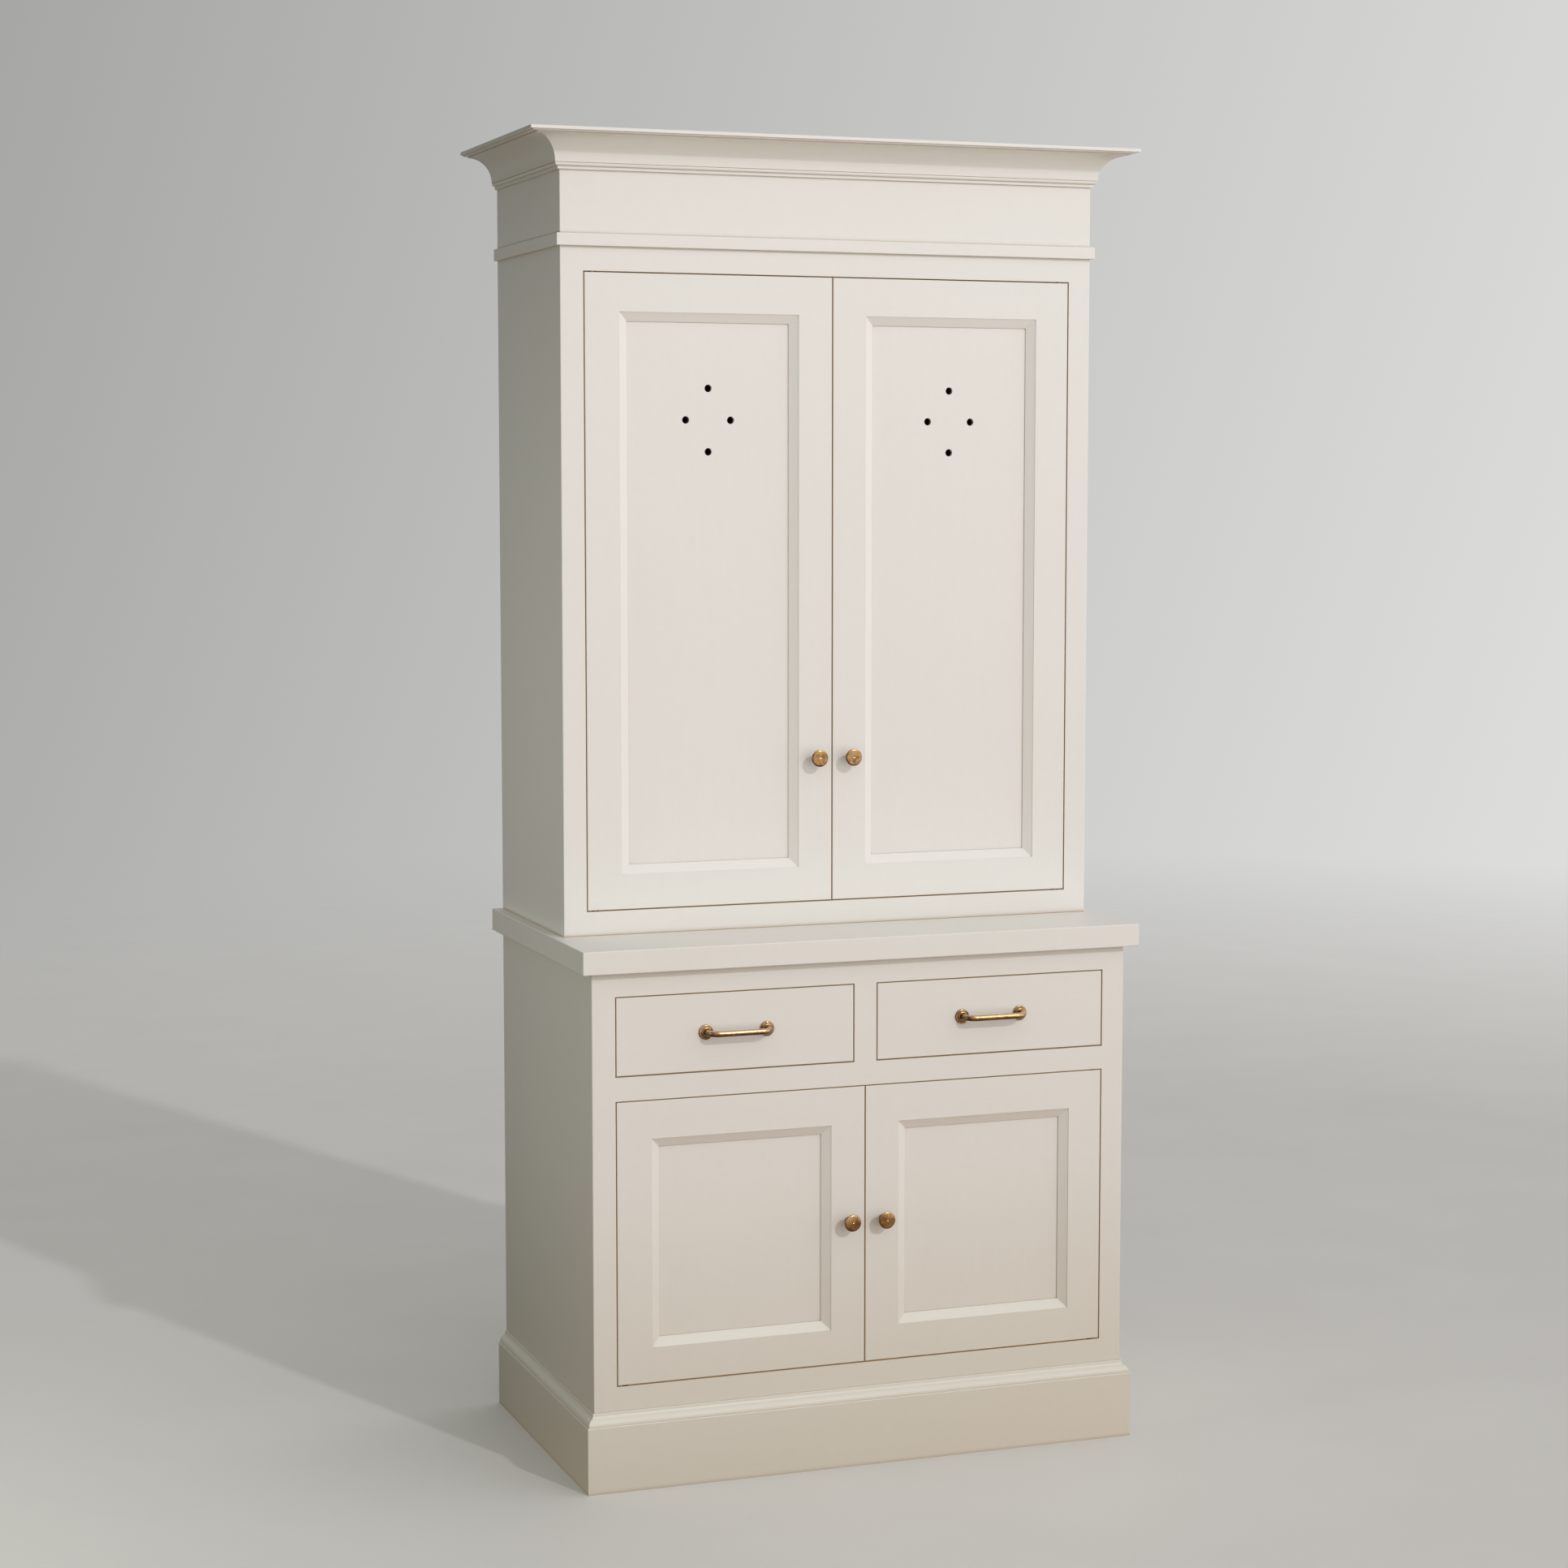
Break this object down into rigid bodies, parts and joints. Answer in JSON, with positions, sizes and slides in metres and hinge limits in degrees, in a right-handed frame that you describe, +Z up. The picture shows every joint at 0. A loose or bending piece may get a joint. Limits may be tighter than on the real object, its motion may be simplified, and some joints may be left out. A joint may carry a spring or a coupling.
{
  "type": "armoire",
  "caption": "Painted two-stage armoire: vented panel-door cupboard with coved cornice on a deeper base with drawers, panel doors and plinth, brass knobs and bar pulls.",
  "frame": {"origin": "centre of the overall box in plan, on the floor under the plinth", "axes": "+Z up, +Y towards the back, +X to the right of someone facing the doors"},
  "size_m": [1.071, 0.579, 2.2],
  "materials": {
    "painted_wood": "satin off-white paint, faint brush and roller marks",
    "painted_interior": "matt off-white paint inside the cupboards and on the back",
    "bare_wood": "clear-oiled hardwood",
    "aged_brass": "antique brass, brown mottled patina, rubbed brighter on the edges",
    "steel": "zinc-plated",
    "catch_plastic": "moulded, matt"
  },
  "bodies": {
    "cabinet": {"plinth_boards": "painted_wood", "plinth_moulding": "painted_wood", "base_left_side": "painted_wood", "base_right_side": "painted_wood", "base_face_frame": "painted_wood", "base_floor": "painted_interior", "base_back": "painted_interior", "base_shelf": "painted_interior", "drawer_dust_board": "painted_interior", "drawer_divider": "bare_wood", "drawer_slides": "bare_wood", "counter_rails": "bare_wood", "countertop": "painted_wood", "upper_left_side": "painted_wood", "upper_right_side": "painted_wood", "upper_face_frame": "painted_wood", "upper_floor": "painted_interior", "upper_ceiling": "painted_interior", "upper_back": "painted_interior", "upper_shelves": "painted_interior", "shelf_pins": "steel", "frieze": "painted_wood", "frieze_band": "painted_wood", "cornice": "painted_wood", "top_board": "painted_wood", "joining_screws": "steel", "back_screws": "steel", "door_catches": "catch_plastic", "catch_magnets": "steel", "pivot_bushes": "aged_brass"},
    "upper_left_door": {"upper_left_door_frame": "painted_wood", "upper_left_door_bead": "painted_wood", "upper_left_door_panel": "painted_wood", "upper_left_door_knob": "aged_brass", "upper_left_door_fittings": "steel"},
    "upper_right_door": {"upper_right_door_frame": "painted_wood", "upper_right_door_bead": "painted_wood", "upper_right_door_panel": "painted_wood", "upper_right_door_knob": "aged_brass", "upper_right_door_fittings": "steel"},
    "lower_left_door": {"lower_left_door_frame": "painted_wood", "lower_left_door_bead": "painted_wood", "lower_left_door_panel": "painted_wood", "lower_left_door_knob": "aged_brass", "lower_left_door_fittings": "steel"},
    "lower_right_door": {"lower_right_door_frame": "painted_wood", "lower_right_door_bead": "painted_wood", "lower_right_door_panel": "painted_wood", "lower_right_door_knob": "aged_brass", "lower_right_door_fittings": "steel"},
    "left_drawer": {"left_drawer_front": "painted_wood", "left_drawer_box": "bare_wood", "left_drawer_bottom": "bare_wood", "left_drawer_pull": "aged_brass", "left_drawer_pull_screws": "steel"},
    "right_drawer": {"right_drawer_front": "painted_wood", "right_drawer_box": "bare_wood", "right_drawer_bottom": "bare_wood", "right_drawer_pull": "aged_brass", "right_drawer_pull_screws": "steel"}
  },
  "joints": [
    {"name": "upper_left_door_hinge", "type": "hinge", "parent": "cabinet", "child": "upper_left_door", "pos_m": [-0.4165, -0.094, 1.4537], "axis": [0, 0, 1], "range_deg": [-110, 0]},
    {"name": "upper_right_door_hinge", "type": "hinge", "parent": "cabinet", "child": "upper_right_door", "pos_m": [0.4165, -0.094, 1.4537], "axis": [0, 0, 1], "range_deg": [0, 110]},
    {"name": "lower_left_door_hinge", "type": "hinge", "parent": "cabinet", "child": "lower_left_door", "pos_m": [-0.4165, -0.251, 0.4064], "axis": [0, 0, 1], "range_deg": [-110, 0]},
    {"name": "lower_right_door_hinge", "type": "hinge", "parent": "cabinet", "child": "lower_right_door", "pos_m": [0.4165, -0.251, 0.4064], "axis": [0, 0, 1], "range_deg": [0, 110]},
    {"name": "left_drawer_slide", "type": "slide", "parent": "cabinet", "child": "left_drawer", "axis": [0, -1, 0], "range_m": [0, 0.36]},
    {"name": "right_drawer_slide", "type": "slide", "parent": "cabinet", "child": "right_drawer", "axis": [0, -1, 0], "range_m": [0, 0.36]}
  ]
}
